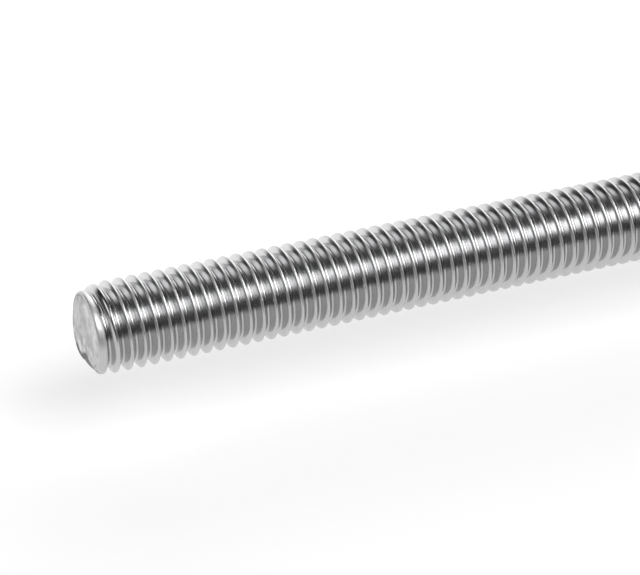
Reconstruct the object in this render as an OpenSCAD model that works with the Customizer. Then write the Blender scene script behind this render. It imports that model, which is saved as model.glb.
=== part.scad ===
// Fully threaded rod, metric coarse, cut to length.
//
// Frame: the rod lies along X with its axis on the X axis, +Z up.
// Origin: on the axis, half way along the rod.
//
// One solid, turned about its own axis. The surface is the thread's outer
// envelope: the cylinder that the crests reach, brought down at both ends by a
// long shallow lead-in and a softened rim, so that a nut starts easily. The
// fine helical thread (right hand, 1.5 mm pitch on 10 mm) is cut into that
// envelope and never stands outside it, so the envelope gives every outside
// size. The -X end also has the small sheared corner that the cutter left.

/* [Rod] */
// Overall length of the rod, end face to end face
rod_len = 200; // [100:10:300]
// Major diameter of the thread, over the crests
major_d = 10; // [9.9:0.1:12]

/* [Ends] */
// Diameter of the flat on each end face
face_d = 8.3; // [7.4:0.1:8.8]
// Diameter just behind the softened rim of the face
rim_d = 9.0; // [8.9:0.1:9.4]
// Axial depth of the softened rim
rim_len = 0.2; // [0.1:0.05:0.4]
// Diameter part way along the lead-in, where its slope eases
ease_d = 9.8; // [9.5:0.1:9.8]
// Axial distance from the face to that easing
ease_len = 1.5; // [1:0.1:2]
// Axial length of the whole lead-in, from face to full diameter
lead_len = 2.8; // [2.2:0.1:4]

/* [Sheared corner] */
// Direction of the sheared corner at the -X end, degrees from +Y towards +Z
crop_angle = -100; // [-180:1:180]
// Distance from the axis to the shear line on the end face
crop_dist = 3.1; // [2.8:0.05:3.5]
// Lean of the sheared corner back from the end face, degrees
crop_lean = 18; // [10:1:45]

/* [Hidden] */
$fn = 96;
major_r = major_d / 2;
half = rod_len / 2;

// One end of the half section, from the face inwards: [radius, distance from the face].
end_points = [
    [face_d / 2, 0],
    [rim_d / 2, rim_len],
    [ease_d / 2, ease_len],
    [major_r, lead_len]
];
last = len(end_points) - 1;

// Half section of the envelope, radius against position along the axis.
module half_section() {
    polygon(concat(
        [[0, -half]],
        [for (p = end_points) [p[0], -half + p[1]]],
        [for (i = [last : -1 : 0]) [end_points[i][0], half - end_points[i][1]]],
        [[0, half]]
    ));
}

// A block whose inner side is the sheared corner's plane. The shear line lies
// on the -X end face, crop_dist from the axis.
module corner_shear() {
    rotate([crop_angle, 0, 0])
        translate([-half, crop_dist, 0])
            rotate([0, 0, 90 - crop_lean])
                translate([-4, 0, -6])
                    cube([12, 4, 12]);
}

module threaded_rod() {
    color([0.74, 0.74, 0.75])
        difference() {
            rotate([0, 90, 0])
                rotate_extrude()
                    half_section();
            corner_shear();
        }
}

threaded_rod();
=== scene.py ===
import math

import bpy
import numpy as np
from mathutils import Matrix, Vector


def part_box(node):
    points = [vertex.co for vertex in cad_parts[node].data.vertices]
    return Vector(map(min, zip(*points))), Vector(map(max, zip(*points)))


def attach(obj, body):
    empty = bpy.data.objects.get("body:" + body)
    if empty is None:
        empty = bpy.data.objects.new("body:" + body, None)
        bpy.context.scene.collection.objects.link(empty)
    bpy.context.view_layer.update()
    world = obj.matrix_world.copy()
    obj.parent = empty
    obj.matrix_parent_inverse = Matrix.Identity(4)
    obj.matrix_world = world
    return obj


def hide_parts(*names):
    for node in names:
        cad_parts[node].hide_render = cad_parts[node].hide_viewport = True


# A threaded rod lying on a pale floor. The CAD solid is the thread's outer envelope; the mesh made
# here cuts the true right-hand helix into it. The mesh is worked out in millimetres.

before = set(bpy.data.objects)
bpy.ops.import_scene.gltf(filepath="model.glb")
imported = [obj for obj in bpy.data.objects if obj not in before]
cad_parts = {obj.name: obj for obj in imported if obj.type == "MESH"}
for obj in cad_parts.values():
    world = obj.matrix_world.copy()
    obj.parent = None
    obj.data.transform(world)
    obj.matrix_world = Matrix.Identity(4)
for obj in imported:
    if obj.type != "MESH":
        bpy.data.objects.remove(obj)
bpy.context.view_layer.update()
lo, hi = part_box("threaded_rod")
LENGTH = (hi.x - lo.x) * 1000.0
X_LEFT = lo.x * 1000.0
R_MAJOR = 5.0

# ------------------------------------------------------------------ thread form, millimetres
PITCH = 1.5
R_CREST = 0.145                       # rounding of a rolled crest
R_ROOT = 0.2165                       # rounding of the root
ROOT_UP = 0.02                        # the rolled root is this much shallower than nominal
BULGE = {-1: math.radians(6.0), 1: math.radians(-4.0)}   # half the turn of each flank: convex towards -X, a little hollow towards +X
COLUMNS = 60                          # mesh columns round the rod
FACE_IN = (0.30, 0.0)                 # how far each end face stands inside the rod's ends
CREST_AT = 4.938 + FACE_IN[0]         # a crest passes this far from the left end...
CREST_ANGLE = math.radians(141.35)    # ...at this angle round the axis, from +Y towards +Z
LEAD_DROP = 0.65                      # the crests are cut down this far at each end...
LEAD_FADE = 0.53                      # ...to a short stub, then less and less
LEAD_ANGLE = math.radians(97.0)       # the side of the left end on which the stub is longest
RIM = 0.25                            # axial depth of the bevelled rim of a cut end
CORNER_R = 4.17                       # edge of the sawn face
FACE_R = 3.40                         # radius of the flat of a cut end
# The sheared corner of the left end: by angle in degrees, how far in the rim is cut (less than 0 = the lip
# raised beside it) and the radius at which the scraped surface leaves the face.
SHEAR = ((-140.0, 0.0, 4.00), (-130.0, 0.10, 3.82), (-120.0, 0.16, 3.60), (-109.0, 0.15, 3.32), (-99.0, 0.09, 3.05),
         (-88.0, 0.0, 2.85), (-76.0, -0.18, 2.95), (-67.0, -0.285, 3.20), (-56.0, -0.30, 3.30), (-45.0, -0.30, 3.30))
BURR = ((-100.0, 0.0), (-82.0, 1.0), (-50.0, 1.0), (-20.0, 0.0))   # where the rim is squeezed out to BURR_R
BURR_R = 4.22
SCRAPE_ANGLE = math.radians(-101.0)
LIP_ANGLE = math.radians(-45.0)       # from here on the lip dies away
LIP_WIDE = math.radians(36.0)

COT30 = math.sqrt(3.0)
TAN30 = 1.0 / COT30
FLAT_HALF = PITCH / 16.0 - R_CREST * TAN30
ROOT_CENTRE = R_MAJOR - (PITCH / 2.0 - PITCH / 16.0) * COT30 + 2.0 * R_ROOT + ROOT_UP
STEP = 2.0 * math.pi / COLUMNS


def joints(turned):
    """Angles at which a bulged flank leaves the crest rounding and meets the root rounding, and its sag."""
    steep = math.radians(60.0)
    for _ in range(40):
        c, q = steep - turned, steep + turned
        dx = PITCH / 2.0 - R_ROOT * math.sin(q) - FLAT_HALF - R_CREST * math.sin(c)
        dr = R_MAJOR - R_CREST + R_CREST * math.cos(c) - ROOT_CENTRE + R_ROOT * math.cos(q)
        steep = math.atan2(dr, dx)
    return steep - turned, steep + turned, steep, math.hypot(dx, dr) / 2.0 * math.tan(turned / 2.0)


FLANK = {side: joints(BULGE[side]) for side in (-1, 1)}


def profile_rows():
    """The rows of one pitch from the crest on: (kind, side, angle of the surface's normal from the radius)."""
    rows = [("crest", -1, FLANK[-1][0]), ("crest", -1, math.radians(24.0)), ("crest", 0, 0.0)]
    rows += [("crest", 1, math.radians(24.0)), ("crest", 1, FLANK[1][0]), ("flank", 1, 0.0)]
    rows += [("root", 1, FLANK[1][1]), ("root", 1, math.radians(20.0)), ("root", -1, math.radians(20.0)), ("root", -1, math.radians(46.0))]
    rows += [("root", -1, FLANK[-1][1]), ("flank", -1, 0.0)]
    return rows


ROWS = profile_rows()
PER_TURN = len(ROWS)


def envelope(s, angle):
    """Radius that crests reach at s from the left end, and its slope along the axis."""
    radius, slope = R_MAJOR, 0.0
    for away, stub, sign in ((s - FACE_IN[0], 0.51 + 0.57 * math.cos(angle - LEAD_ANGLE), 1.0), (LENGTH - FACE_IN[1] - s, 0.50, -1.0)):
        over = (away - stub) / 0.08
        if over > 200.0:
            continue
        beyond = 0.08 * (math.log1p(math.exp(over)) if over < 30.0 else over)
        drop = LEAD_DROP * math.exp(-beyond / LEAD_FADE)
        radius -= drop
        slope += sign * drop / LEAD_FADE / (1.0 + math.exp(-max(over, -30.0)))
    return radius, slope


def widening(middle, side, angle):
    """How much wider a crest's shoulder stands where the lead-in cuts the crest down."""
    w = 0.0
    for _ in range(8):
        w = (R_MAJOR - envelope(middle + side * (PITCH / 16.0 + w), angle)[0]) * TAN30
    return w


def crest_position(turn, angle):
    """Where the crest of this turn passes at this angle: a right-hand helix moves +X as the angle grows."""
    return CREST_AT + PITCH * (turn + (angle - CREST_ANGLE) / (2.0 * math.pi))


def crest_point(middle, side, tilt, angle):
    """A point on a crest's rounding: place along the axis and radius."""
    s = middle + side * (FLAT_HALF + widening(middle, side, angle) + R_CREST * math.sin(tilt))
    return s, envelope(s, angle)[0] - R_CREST * (1.0 - math.cos(tilt))


def root_point(middle, side, tilt):
    return middle + side * (PITCH / 2.0 - R_ROOT * math.sin(tilt)), ROOT_CENTRE - R_ROOT * math.cos(tilt)


def thread_point(kind, side, tilt, middle, angle):
    """Place along the axis, radius, slope dr/ds of the helical form and slope of the lead-in there."""
    if kind == "crest":
        s, r = crest_point(middle, side, tilt, angle)
        lead = envelope(s, angle)[1] * (1.0 - math.sin(tilt) / math.sin(math.radians(64.0)))
        return s, r, -side * math.tan(tilt), max(lead, 0.0) if s < LENGTH / 2.0 else min(lead, 0.0)
    if kind == "root":
        # the row belongs to the root after this crest; the -X flank rows lie beyond its middle
        s, r = root_point(middle, 1, tilt) if side == 1 else root_point(middle + PITCH, -1, tilt)
        return s, r, -side * math.tan(tilt), 0.0
    at = middle if side == 1 else middle + PITCH
    first, last, steep, sag = FLANK[side]
    (sc, rc), (sr, rr) = crest_point(at, side, first, angle), root_point(at, side, last)
    length = math.hypot(sr - sc, rr - rc)
    ns, nr = side * (rc - rr) / length, side * (sr - sc) / length
    return (sc + sr) / 2.0 + ns * sag, (rc + rr) / 2.0 + nr * sag, (rr - rc) / (sr - sc), 0.0


def thread_radius(s, angle):
    """Radius of the threaded surface anywhere, for the loops that close the ends."""
    turn = round((s - crest_position(0, angle)) / PITCH)
    middle = s - (s - crest_position(turn, angle))
    x = s - middle
    side = 1 if x >= 0.0 else -1
    first, last, steep, sag = FLANK[side]
    sc, rc = crest_point(middle, side, first, angle)
    sr, rr = root_point(middle, side, last)
    xc, xr, x = side * (sc - middle), side * (sr - middle), abs(x)
    e = envelope(s, angle)[0]
    if x >= xr:
        return min(e, ROOT_CENTRE - math.sqrt(max(R_ROOT ** 2 - (PITCH / 2.0 - x) ** 2, 0.0)))
    flat = xc - R_CREST * math.sin(first)
    if x <= flat or xc >= xr:
        return e
    if x <= xc:
        return e - R_CREST + math.sqrt(max(R_CREST ** 2 - (x - flat) ** 2, 0.0))
    share = (x - xc) / (xr - xc)
    return min(e, rc * (1.0 - share) + rr * share + sag * 4.0 * share * (1.0 - share) / math.cos(steep))


verts, normals, by_mesh = [], [], []


def add(s, r, angle, along, swirl=0.0, own=False):
    """A vertex at s from the left end; along is dr/ds there, and swirl the part of it that turns with the helix."""
    verts.append((s, r * math.cos(angle), r * math.sin(angle)))
    turned = swirl * PITCH / (2.0 * math.pi * r)
    c, n = math.cos(angle), math.sin(angle)
    normals.append((-along, c - turned * n, n + turned * c))
    by_mesh.append(own)
    return len(verts) - 1


START, END = FACE_IN[0] + RIM, LENGTH - FACE_IN[1] - RIM
GAP = 0.035
TURN = [CREST_ANGLE + (j - COLUMNS // 2) * STEP for j in range(COLUMNS)]
columns = []          # per column: (first row number, [vertices]), rows counted on one endless list
edge_start, edge_end = [], []
for j, angle in enumerate(TURN):
    first, line = None, []
    for turn in range(-6, int(LENGTH / PITCH) + 5):
        middle = crest_position(turn, angle)
        if middle < -2.0 * PITCH or middle > LENGTH + PITCH:
            continue
        for i, (kind, side, tilt) in enumerate(ROWS):
            s, r, slope, lead = thread_point(kind, side, tilt, middle, angle)
            if s <= START + GAP or s >= END - GAP:
                continue
            if first is None:
                first = turn * PER_TURN + i
            line.append(add(s, r, angle, slope + lead, slope))
    columns.append((first, line))
    for where, s in ((edge_start, START), (edge_end, END)):
        h = 0.004
        along = (thread_radius(s + h, angle) - thread_radius(s - h, angle)) / (2.0 * h)
        swirl = -(thread_radius(s, angle + 0.02) - thread_radius(s, angle - 0.02)) / 0.04 * 2.0 * math.pi / PITCH
        where.append(add(s, thread_radius(s, angle), angle, along, swirl))

faces = []


def column(j):
    """Column j with its row numbers; the last column is the first one a turn further on."""
    first, line = columns[j % COLUMNS]
    return (first - PER_TURN if j == COLUMNS else first), line


for j in range(COLUMNS):
    (fa, a), (fb, b) = column(j), column(j + 1)
    la, lb = fa + len(a) - 1, fb + len(b) - 1
    low, high = max(fa, fb), min(la, lb)
    for m in range(low, high):
        faces.append((a[m - fa], a[m + 1 - fa], b[m + 1 - fb], b[m - fb]))
    k = (j + 1) % COLUMNS
    # the loops at the two ends, where rows start and stop
    for edge, at, flip in ((edge_start, low, False), (edge_end, high, True)):
        if flip:
            chain_a = [edge[j]] + [a[m - fa] for m in range(la, at - 1, -1)]
            chain_b = [edge[k]] + [b[m - fb] for m in range(lb, at - 1, -1)]
        else:
            chain_a = [edge[j]] + [a[m - fa] for m in range(fa, at + 1)]
            chain_b = [edge[k]] + [b[m - fb] for m in range(fb, at + 1)]
        pieces = []
        p = q = 0
        while p < len(chain_a) - 1 or q < len(chain_b) - 1:
            left_a, left_b = len(chain_a) - 1 - p, len(chain_b) - 1 - q
            if left_a == left_b:
                pieces.append((chain_a[p], chain_a[p + 1], chain_b[q + 1], chain_b[q]))
                p, q = p + 1, q + 1
            elif left_a > left_b:
                pieces.append((chain_a[p], chain_a[p + 1], chain_b[q]))
                p += 1
            else:
                pieces.append((chain_a[p], chain_b[q + 1], chain_b[q]))
                q += 1
        faces += [tuple(reversed(t)) for t in pieces] if flip else pieces
body_faces = len(faces)


# ------------------------------------------------------------------ the two cut ends
def leaves_at(angle):
    """Radius at which the scraped surface leaves the face."""
    turned = (np.degrees(angle) + 180.0) % 360.0 - 180.0
    return np.interp(turned, [a for a, _, _ in SHEAR], [r for _, _, r in SHEAR])


def cap(edge, left):
    """Softened rim, then the flat of the cut, in loops that follow the sheared corner on the left end."""
    sign = 1.0 if left else -1.0
    base = FACE_IN[0] if left else LENGTH - FACE_IN[1]

    def ring(radius, depth):
        loop = []
        for j, angle in enumerate(TURN):
            r = radius(j, angle)
            verts.append((base + sign * depth, r * math.cos(angle), r * math.sin(angle)))
            normals.append((-sign, 0.0, 0.0))
            by_mesh.append(True)
            loop.append(len(verts) - 1)
        return loop

    def chord(j):
        return FACE_R * 0.94 if not left else min(FACE_R * 0.94, float(leaves_at(TURN[j])))

    edge_r = [math.hypot(verts[v][1], verts[v][2]) for v in edge]
    corner_r = [min(CORNER_R, r - 0.10) for r in edge_r]
    if left:
        squeezed = np.interp([(math.degrees(a) + 180.0) % 360.0 - 180.0 for a in TURN], [a for a, _ in BURR], [w for _, w in BURR])
        corner_r = [r + (BURR_R - r) * float(w) for r, w in zip(corner_r, squeezed)]
        corner_r = [min(r, e - 0.06) if math.radians(-150.0) < (a + math.pi) % (2.0 * math.pi) - math.pi < math.radians(-84.0) else r for r, e, a in zip(corner_r, edge_r, TURN)]
    loops = [list(edge)]
    for share, depth in ((0.93, 0.170), (0.80, 0.110), (0.58, 0.062), (0.30, 0.033)):
        loops.append(ring(lambda j, angle: corner_r[j] + (edge_r[j] - corner_r[j]) * share, depth))
    for share, depth in ((0.0, 0.018), (-0.06, 0.009), (-0.3, 0.005), (-0.62, 0.002), (-1.0, 0.0)):
        loops.append(ring(lambda j, angle: corner_r[j] - 0.03 + (corner_r[j] - 0.03 - FACE_R) * share, depth))
    for w in (0.5, 0.0):
        loops.append(ring(lambda j, angle: chord(j) + (FACE_R - chord(j)) * w, 0.0))
    for w in (0.88, 0.74, 0.6, 0.46, 0.32, 0.18):
        loops.append(ring(lambda j, angle: chord(j) * w, 0.0))
    verts.append((base, 0.0, 0.0))
    normals.append((-sign, 0.0, 0.0))
    by_mesh.append(True)
    centre = len(verts) - 1
    made = []
    for a, b in zip(loops, loops[1:]):
        for j in range(COLUMNS):
            k = (j + 1) % COLUMNS
            quad = (a[j], a[k], b[k], b[j])
            made.append(quad if left else tuple(reversed(quad)))
    for j in range(COLUMNS):
        k = (j + 1) % COLUMNS
        tri = (loops[-1][j], loops[-1][k], centre)
        made.append(tri if left else tuple(reversed(tri)))
    return made


faces += cap(edge_start, True) + cap(edge_end, False)
faces = [tuple(reversed(f)) for f in faces]

co = np.array(verts)
no = np.array(normals)
by_mesh = np.array(by_mesh)
# The sheared corner and the lip beside it.
near = co[:, 0] < FACE_IN[0] + 0.60
radial = np.hypot(co[:, 1], co[:, 2])
turn_angle = np.arctan2(co[:, 2], co[:, 1])
off_lip = turn_angle - LIP_ANGLE
in_rim = np.interp(np.degrees(turn_angle), [a for a, _, _ in SHEAR], [d for _, d, _ in SHEAR])
in_rim = np.where(off_lip > 0.0, -FACE_IN[0] * np.exp(-(off_lip / LIP_WIDE) ** 2), in_rim)
rise = np.clip((radial - leaves_at(turn_angle)) / (4.14 - leaves_at(turn_angle)), 0.0, 1.25)
soft = np.clip(rise, 0.0, 1.0) ** 2 * (3.0 - 2.0 * np.clip(rise, 0.0, 1.0))
lip = np.maximum(-in_rim, 0.0) * soft * np.clip(1.0 - (co[:, 0] - FACE_IN[0] - 0.08) / 0.5, 0.0, 1.0)
co[near, 0] -= lip[near]
plane = FACE_IN[0] + np.maximum(in_rim, 0.0) * rise
cut = near & (in_rim > 0.0) & (co[:, 0] < plane)
co[cut, 0] = plane[cut]
by_mesh |= (co[:, 0] < FACE_IN[0] + 0.60) | (co[:, 0] > LENGTH - FACE_IN[1] - 0.60)

no /= np.linalg.norm(no, axis=1)[:, None]
co[:, 0] += X_LEFT

mesh = bpy.data.meshes.new("threaded_rod_mesh")
mesh.from_pydata((co / 1000.0).tolist(), [], faces)
mesh.update()
if mesh.validate(verbose=False):
    raise RuntimeError("the thread mesh had bad faces")
mesh.polygons.foreach_set("use_smooth", np.ones(len(mesh.polygons), bool))
own = np.zeros(len(mesh.vertices) * 3, np.float32)
mesh.vertex_normals.foreach_get("vector", own)
own = own.reshape(-1, 3)
no[by_mesh] = own[by_mesh]

# Texture space in millimetres on a 100 mm sheet: the rod's skin rolled out in three strips, and the two ends.
sheet = mesh.uv_layers.new(name="OFBake")
loop_vert = np.zeros(len(mesh.loops), np.int32)
mesh.loops.foreach_get("vertex_index", loop_vert)
starts = np.zeros(len(mesh.polygons), np.int32)
totals = np.zeros(len(mesh.polygons), np.int32)
mesh.polygons.foreach_get("loop_start", starts)
mesh.polygons.foreach_get("loop_total", totals)
of_face = np.repeat(np.arange(len(mesh.polygons)), totals)
middles = np.zeros((len(mesh.polygons), 3))
for axis in range(3):
    middles[:, axis] = np.bincount(of_face, co[loop_vert, axis], len(mesh.polygons)) / totals
third = LENGTH / 3.0
strip = np.clip(((middles[:, 0] - X_LEFT) / third).astype(int), 0, 2)[of_face]
facing = np.arctan2(middles[:, 2], middles[:, 1])[of_face]
corner = np.arctan2(co[loop_vert, 2], co[loop_vert, 1])
corner = facing + (corner - facing + math.pi) % (2.0 * math.pi) - math.pi
u = 1.5 + (co[loop_vert, 0] - X_LEFT - strip * third)
v = 1.0 + 33.0 * strip + (corner + math.pi) * R_MAJOR
on_end = of_face >= body_faces
right_end = middles[of_face, 0] > 0.0
u = np.where(on_end, 85.0 + 2.5 * co[loop_vert, 1], u)
v = np.where(on_end, np.where(right_end, 45.0, 17.0) + 2.5 * co[loop_vert, 2], v)
sheet.data.foreach_set("uv", (np.stack([u, v], 1) / 100.0).ravel().astype(np.float32))

mesh.normals_split_custom_set_from_vertices(no.tolist())
print("triangles", sum(len(f) - 2 for f in faces), "vertices", len(verts), "least agreement of normals", float(np.min(np.einsum("ij,ij->i", own, no))))

rod = bpy.data.objects.new("rod_thread", mesh)
bpy.context.scene.collection.objects.link(rod)
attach(rod, "root")
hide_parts("threaded_rod")


# ------------------------------------------------------------------ materials
class Nodes:
    """Small helper that adds and links nodes in one tree."""

    def __init__(self, tree):
        self.tree = tree

    def put(self, socket, value):
        if isinstance(value, bpy.types.NodeSocket):
            self.tree.links.new(value, socket)
        elif value is not None:
            socket.default_value = value

    def math(self, op, a, b=None, c=None):
        n = self.tree.nodes.new("ShaderNodeMath")
        n.operation = op
        for socket, value in zip(n.inputs, (a, b, c)):
            self.put(socket, value)
        return n.outputs[0]

    def ramp(self, value, lo, hi, to_lo=0.0, to_hi=1.0, smooth=True):
        n = self.tree.nodes.new("ShaderNodeMapRange")
        n.interpolation_type = "SMOOTHSTEP" if smooth else "LINEAR"
        n.clamp = True
        for name, v in (("Value", value), ("From Min", lo), ("From Max", hi), ("To Min", to_lo), ("To Max", to_hi)):
            self.put(n.inputs[name], v)
        return n.outputs["Result"]

    def noise(self, vector, scale, detail=2.0, roughness=0.5, w=None):
        n = self.tree.nodes.new("ShaderNodeTexNoise")
        n.noise_dimensions = "3D" if w is None else "4D"
        self.put(n.inputs["Vector"], vector)
        if w is not None:
            self.put(n.inputs["W"], w)
        n.inputs["Scale"].default_value = scale
        n.inputs["Detail"].default_value = detail
        n.inputs["Roughness"].default_value = roughness
        return n.outputs["Fac"]

    def vector(self, x, y, z):
        n = self.tree.nodes.new("ShaderNodeCombineXYZ")
        for socket, value in zip(n.inputs, (x, y, z)):
            self.put(socket, value)
        return n.outputs[0]

    def mix(self, fac, a, b):
        """a where fac is 0 and b where it is 1, for numbers."""
        return self.math("ADD", self.math("MULTIPLY", a, self.math("SUBTRACT", 1.0, fac)), self.math("MULTIPLY", b, fac))

    def bump(self, height, distance, strength=1.0, normal=None):
        n = self.tree.nodes.new("ShaderNodeBump")
        n.inputs["Strength"].default_value = strength
        n.inputs["Distance"].default_value = distance
        self.put(n.inputs["Height"], height)
        if normal is not None:
            self.put(n.inputs["Normal"], normal)
        return n.outputs[0]

    def grey(self, value, tint=(1.0, 1.0, 1.0)):
        n = self.tree.nodes.new("ShaderNodeCombineColor")
        for socket, t in zip(n.inputs, tint):
            self.put(socket, self.math("MULTIPLY", value, t) if t != 1.0 else value)
        return n.outputs[0]


def rod_material():
    """Rolled stainless steel, with the matte sawn ends and the scraped corner in the same surface; its colour also
    carries painted shade under each crest, on the scraped corner and round the sawn faces' edges, painted shading
    across the sawn faces, and a painted highlight on the lip.
    """
    m = bpy.data.materials.new("rolled_stainless")
    m.use_nodes = True
    t = m.node_tree
    n = Nodes(t)
    bsdf = t.nodes["Principled BSDF"]
    tc = t.nodes.new("ShaderNodeTexCoord")
    scale = t.nodes.new("ShaderNodeVectorMath")
    scale.operation = "SCALE"
    scale.inputs["Scale"].default_value = 1000.0
    t.links.new(tc.outputs["Object"], scale.inputs[0])
    mm = scale.outputs[0]
    sep = t.nodes.new("ShaderNodeSeparateXYZ")
    t.links.new(mm, sep.inputs[0])
    x, y, z = sep.outputs
    radius = n.math("SQRT", n.math("ADD", n.math("MULTIPLY", y, y), n.math("MULTIPLY", z, z)))
    turn = n.math("DIVIDE", n.math("ARCTAN2", z, y), 2.0 * math.pi)
    along = n.math("DIVIDE", n.math("SUBTRACT", x, X_LEFT + CREST_AT - PITCH * CREST_ANGLE / (2.0 * math.pi)), PITCH)
    wave = n.math("MULTIPLY", n.math("SUBTRACT", along, turn), 2.0 * math.pi)     # 0 on a crest
    cos, sin = n.math("COSINE", wave), n.math("SINE", wave)

    # lines that the rolling dies drew along the helix, broken up along their length
    die = n.noise(n.vector(n.math("MULTIPLY", cos, 2.6), n.math("MULTIPLY", sin, 2.6), n.math("MULTIPLY", y, 0.07)), 1.0, 1.0, 0.5, n.math("MULTIPLY", z, 0.07))
    # painted shade: a dark band close under each crest, on its +X side, stands in for the dark gap in the crest's
    # reflection
    phase = n.math("FRACT", n.math("SUBTRACT", along, turn))
    painted_gap_shade = n.math("MULTIPLY", n.ramp(phase, 0.055, 0.080), n.ramp(phase, 0.165, 0.120))
    # slow waviness of the rolled flanks, and a fine pickled grain
    slow = n.noise(mm, 0.55, 1.0, 0.5)
    grain = n.noise(mm, 5.5, 3.0, 0.6)
    # scattered dents on the crests
    spots = n.noise(mm, 1.9, 1.0, 0.4)
    crest = n.ramp(radius, 4.72, 4.93)
    root = n.ramp(radius, 4.30, 4.12)
    dent = n.math("MULTIPLY", n.ramp(spots, 0.68, 0.74), crest)

    # the two sawn ends
    end_l = n.ramp(x, X_LEFT + FACE_IN[0] + 0.06, X_LEFT + FACE_IN[0] + 0.02)
    end_r = n.ramp(x, X_LEFT + LENGTH - FACE_IN[1] - 0.06, X_LEFT + LENGTH - FACE_IN[1] - 0.02)
    sawn = n.math("MULTIPLY", n.math("MAXIMUM", end_l, end_r), n.ramp(radius, 4.25, 4.05))
    cross = n.math("ADD", n.math("MULTIPLY", y, math.sin(math.radians(62.0))), n.math("MULTIPLY", z, -math.cos(math.radians(62.0))))
    with_cut = n.math("ADD", n.math("MULTIPLY", y, math.cos(math.radians(62.0))), n.math("MULTIPLY", z, math.sin(math.radians(62.0))))
    saw_lines = n.noise(n.vector(n.math("MULTIPLY", cross, 2.4), n.math("MULTIPLY", with_cut, 0.35), 3.0), 1.0, 3.0, 0.6)
    mottle = n.noise(mm, 1.05, 3.0, 0.6)
    flecks = n.noise(mm, 6.0, 2.0, 0.7)

    # the scraped corner, painted dark as painted shade, darkest along its inner edge
    away = n.math("ADD", n.math("MULTIPLY", y, math.cos(SCRAPE_ANGLE)), n.math("MULTIPLY", z, math.sin(SCRAPE_ANGLE)))
    beside = n.math("ADD", n.math("MULTIPLY", y, -math.sin(SCRAPE_ANGLE)), n.math("MULTIPLY", z, math.cos(SCRAPE_ANGLE)))
    over_edge = n.math("SUBTRACT", away, n.math("SUBTRACT", 3.06, n.math("ADD", n.math("MULTIPLY", beside, 0.38), n.math("MULTIPLY", n.math("MULTIPLY", beside, beside), 0.08))))
    scrape_and_shade = n.math("MULTIPLY", n.ramp(over_edge, -0.06, 0.10), n.ramp(x, X_LEFT + 1.05, X_LEFT + 0.85))
    upper_end = n.math("ADD", n.math("MULTIPLY", y, -0.576), n.math("MULTIPLY", z, -0.817))
    scrape_and_shade = n.math("MULTIPLY", scrape_and_shade, n.math("MULTIPLY", n.ramp(upper_end, 2.12, 2.55), n.ramp(beside, -2.35, -1.70)))
    # painted shade: a thin dark grey strip carries the scraped corner's painted shade on round the edge, outside the
    # lip
    strip = n.math("MULTIPLY", n.ramp(radius, 3.72, 3.88), n.math("MULTIPLY", n.ramp(turn, -0.215, -0.200), n.ramp(turn, -0.142, -0.160)))
    strip = n.math("MULTIPLY", strip, n.ramp(x, X_LEFT + 0.60, X_LEFT + 0.40))

    # the turned-down stubs beside the sawn faces are duller
    stub_l = n.ramp(x, X_LEFT + FACE_IN[0] + 1.05, X_LEFT + FACE_IN[0] + 0.80)
    stub_r = n.ramp(x, X_LEFT + LENGTH - FACE_IN[1] - 1.05, X_LEFT + LENGTH - FACE_IN[1] - 0.80)
    stub = n.math("MULTIPLY", n.math("MAXIMUM", stub_l, stub_r), n.ramp(radius, 4.20, 4.28))

    rolled = n.math("ADD", 0.51, n.math("MULTIPLY", n.math("SUBTRACT", grain, 0.5), 0.05))
    rolled = n.math("ADD", rolled, n.math("MULTIPLY", n.math("SUBTRACT", die, 0.5), 0.12))
    rolled = n.math("ADD", rolled, n.math("MULTIPLY", crest, 0.03))
    rolled = n.math("SUBTRACT", rolled, n.math("MULTIPLY", root, 0.03))
    blotch = n.noise(mm, 0.42, 1.0, 0.5)
    cut_grey = n.math("ADD", 0.54, n.math("MULTIPLY", n.math("SUBTRACT", mottle, 0.5), 0.85))
    cut_grey = n.math("ADD", cut_grey, n.math("MULTIPLY", n.math("SUBTRACT", saw_lines, 0.5), 0.15))
    cut_grey = n.math("ADD", cut_grey, n.math("MULTIPLY", n.math("SUBTRACT", blotch, 0.5), 0.50))
    # painted shading: the sawn faces are painted lighter towards -Y and a little towards +Z, where more light falls
    cut_grey = n.math("ADD", cut_grey, n.math("ADD", n.math("MULTIPLY", y, -0.014), n.math("MULTIPLY", z, 0.003)))
    # painted shade: a dark ring just inside the edge of the sawn face, where it turns into the rim
    rim_ring_shade = n.math("MULTIPLY", n.ramp(radius, 3.80, 3.93), n.ramp(radius, 4.10, 3.98))
    cut_grey = n.math("SUBTRACT", cut_grey, n.math("MULTIPLY", rim_ring_shade, 0.13))
    # painted highlight: a light streak on the face just inside the lip
    lip_highlight = n.math("MULTIPLY", n.math("MULTIPLY", n.ramp(radius, 3.20, 3.36), n.ramp(radius, 3.80, 3.66)), n.math("MULTIPLY", n.ramp(turn, -0.200, -0.182), n.ramp(turn, -0.132, -0.150)))
    cut_grey = n.math("ADD", cut_grey, n.math("MULTIPLY", lip_highlight, 0.28))
    # the rolled steel is darkened under each crest by this painted shade
    rolled = n.math("MULTIPLY", rolled, n.math("SUBTRACT", 1.0, n.math("MULTIPLY", painted_gap_shade, 0.50)))
    colour = n.mix(stub, rolled, n.math("ADD", 0.56, n.math("MULTIPLY", n.math("SUBTRACT", mottle, 0.5), 0.25)))
    colour = n.mix(sawn, colour, cut_grey)
    # painted shade of the strip outside the lip
    colour = n.mix(strip, colour, 0.17)
    # painted shade: the scraped corner is painted dark, from near black at its inner edge to dark grey outside
    colour = n.mix(scrape_and_shade, colour, n.ramp(over_edge, 0.0, 0.8, 0.045, 0.14))
    t.links.new(n.grey(colour, (1.0, 1.0, 1.008)), bsdf.inputs["Base Color"])

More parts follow.
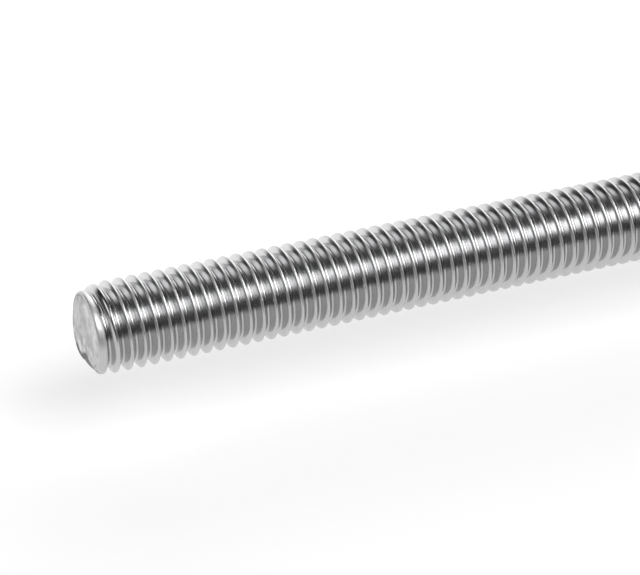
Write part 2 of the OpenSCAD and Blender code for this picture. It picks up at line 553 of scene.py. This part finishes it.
    bsdf.inputs["Metallic"].default_value = 1.0
    rough = n.math("ADD", 0.185, n.math("MULTIPLY", grain, 0.05))
    rough = n.math("ADD", rough, n.math("MULTIPLY", root, 0.04))
    rough = n.math("ADD", rough, n.math("MULTIPLY", dent, 0.15))
    rough = n.math("ADD", rough, n.math("MULTIPLY", n.ramp(radius, 4.80, 4.93), 0.08))
    rough = n.mix(stub, rough, 0.48)
    rough = n.mix(sawn, rough, n.math("ADD", 0.42, n.math("MULTIPLY", mottle, 0.22)))
    rough = n.mix(scrape_and_shade, rough, 0.38)
    t.links.new(rough, bsdf.inputs["Roughness"])

    rolled_away = n.math("SUBTRACT", 1.0, sawn)
    height = n.math("MULTIPLY", n.math("MULTIPLY", die, 0.14), rolled_away)
    height = n.math("ADD", height, n.math("MULTIPLY", slow, 22.0))
    height = n.math("ADD", height, n.math("MULTIPLY", grain, 0.015))
    height = n.math("SUBTRACT", height, n.math("MULTIPLY", dent, 14.0))
    cut_height = n.math("ADD", n.math("MULTIPLY", saw_lines, 26.0), n.math("ADD", n.math("MULTIPLY", flecks, 3.5), n.math("MULTIPLY", mottle, 30.0)))
    height = n.math("ADD", height, n.math("MULTIPLY", cut_height, sawn))
    t.links.new(n.bump(height, 0.000001), bsdf.inputs["Normal"])
    return m


mesh.materials.append(rod_material())

# ------------------------------------------------------------------ camera
# Seen from in front, above and left of the left end; measured against the rod's own axis.
EYE = Vector((-0.1 - 0.068918 + FACE_IN[0] / 1000.0, -0.210465, 0.168295))
RIGHT = Vector((0.922225, -0.382, 0.045971))
axis_in_camera = Vector((0.92222493, -0.19267014, 0.33523036)).normalized()
up_in_camera = Vector((0.04597135, -0.80621615, -0.58983232))
up_in_camera = (up_in_camera - up_in_camera.dot(axis_in_camera) * axis_in_camera).normalized()
away_in_camera = up_in_camera.cross(axis_in_camera)
rows3 = (axis_in_camera, away_in_camera, up_in_camera)
right, down, ahead = (Vector((r[i] for r in rows3)) for i in range(3))
cam_data = bpy.data.cameras.new("camera")
cam_data.sensor_fit = "HORIZONTAL"
cam_data.sensor_width = 36.0
cam_data.lens = 36.0 * 2600.0 / 640.0
cam_data.clip_start, cam_data.clip_end = 0.01, 20.0
camera = bpy.data.objects.new("camera", cam_data)
m = Matrix((
    (right.x, -down.x, -ahead.x, EYE.x),
    (right.y, -down.y, -ahead.y, EYE.y),
    (right.z, -down.z, -ahead.z, EYE.z),
    (0, 0, 0, 1),
))
camera.matrix_world = m
bpy.context.scene.collection.objects.link(camera)
bpy.context.scene.camera = camera

# ------------------------------------------------------------------ floor and light
floor_mesh = bpy.data.meshes.new("floor")
F = 3.0
floor_z = -0.015
front = -0.27                         # the table's front edge, below the picture
floor_mesh.from_pydata([(-F, front, floor_z), (F, front, floor_z), (F, F, floor_z), (-F, F, floor_z)], [], [(0, 1, 2, 3)])
floor = bpy.data.objects.new("floor", floor_mesh)
bpy.context.scene.collection.objects.link(floor)
fm = bpy.data.materials.new("floor")
fm.use_nodes = True
ft = fm.node_tree
fb = ft.nodes["Principled BSDF"]
fb.inputs["Base Color"].default_value = (0.47, 0.47, 0.47, 1)
fb.inputs["Roughness"].default_value = 0.8
fb.inputs["Specular IOR Level"].default_value = 0.0
# painted light: the floor glows, brighter towards the back, standing in for a translucent table lit from below
fn = Nodes(ft)
place = ft.nodes.new("ShaderNodeSeparateXYZ")
ft.links.new(ft.nodes.new("ShaderNodeTexCoord").outputs["Object"], place.inputs[0])
floor_glow = fn.ramp(place.outputs[1], 0.0, 0.08, 0.50, 0.84)
ft.links.new(fn.grey(floor_glow), fb.inputs["Emission Color"])
fb.inputs["Emission Strength"].default_value = 1.0
floor_mesh.materials.append(fm)

# The studio: soft panels on a dark surround. Each is (from, to) in degrees to the rod's right, (from, to)
# in degrees up from the front horizon and over to the back one, and how bright it is.
PANELS = (
    ((3, 34), (42, 71), 6.0),          # softbox in front, above
    ((-14, 3), (45, 70), 3.2),
    ((15, 24), (31, 79), 2.9),
    ((-62, -33), (65, 121), 1.6),      # reflector on the left
    ((62, 96), (92, 166), 15.5),       # wall of light on the right
    ((62, 84), (-15, 12), 7.5),
    ((65, 80), (12, 76), 1.5),
    ((-3, 45), (124, 159), 2.1),       # behind
    ((20, 47), (113, 194), 1.2),
    ((-30, 35), (162, 185), 1.3),
)
AMBIENT = 0.024
EDGE = 5.0
world = bpy.data.worlds.new("world")
bpy.context.scene.world = world
world.use_nodes = True
wt = world.node_tree
w = Nodes(wt)
sep = wt.nodes.new("ShaderNodeSeparateXYZ")
wt.links.new(wt.nodes.new("ShaderNodeTexCoord").outputs["Generated"], sep.inputs[0])
to_right = w.math("DEGREES", w.math("ARCSINE", sep.outputs[0]))
over = w.math("DEGREES", w.math("ARCTAN2", sep.outputs[2], w.math("MULTIPLY", sep.outputs[1], -1.0)))
glow = AMBIENT
for (l0, l1), (p0, p1), bright in PANELS:
    part = w.math("MULTIPLY", w.ramp(to_right, l0 - EDGE, l0 + EDGE), w.ramp(to_right, l1 + EDGE, l1 - EDGE))
    part = w.math("MULTIPLY", part, w.math("MULTIPLY", w.ramp(over, p0 - EDGE, p0 + EDGE), w.ramp(over, p1 + EDGE, p1 - EDGE)))
    part = w.math("MULTIPLY", part, bright)
    glow = w.math("ADD", glow, part)
studio = wt.nodes["Background"]
wt.links.new(glow, studio.inputs["Color"])
pale = wt.nodes.new("ShaderNodeBackground")
pale.inputs["Color"].default_value = (0.97, 0.97, 0.97, 1)
seen = wt.nodes.new("ShaderNodeMixShader")
wt.links.new(wt.nodes.new("ShaderNodeLightPath").outputs["Is Camera Ray"], seen.inputs[0])
wt.links.new(studio.outputs[0], seen.inputs[1])
wt.links.new(pale.outputs[0], seen.inputs[2])
wt.links.new(seen.outputs[0], wt.nodes["World Output"].inputs["Surface"])
bpy.context.scene.view_settings.view_transform = "Standard"
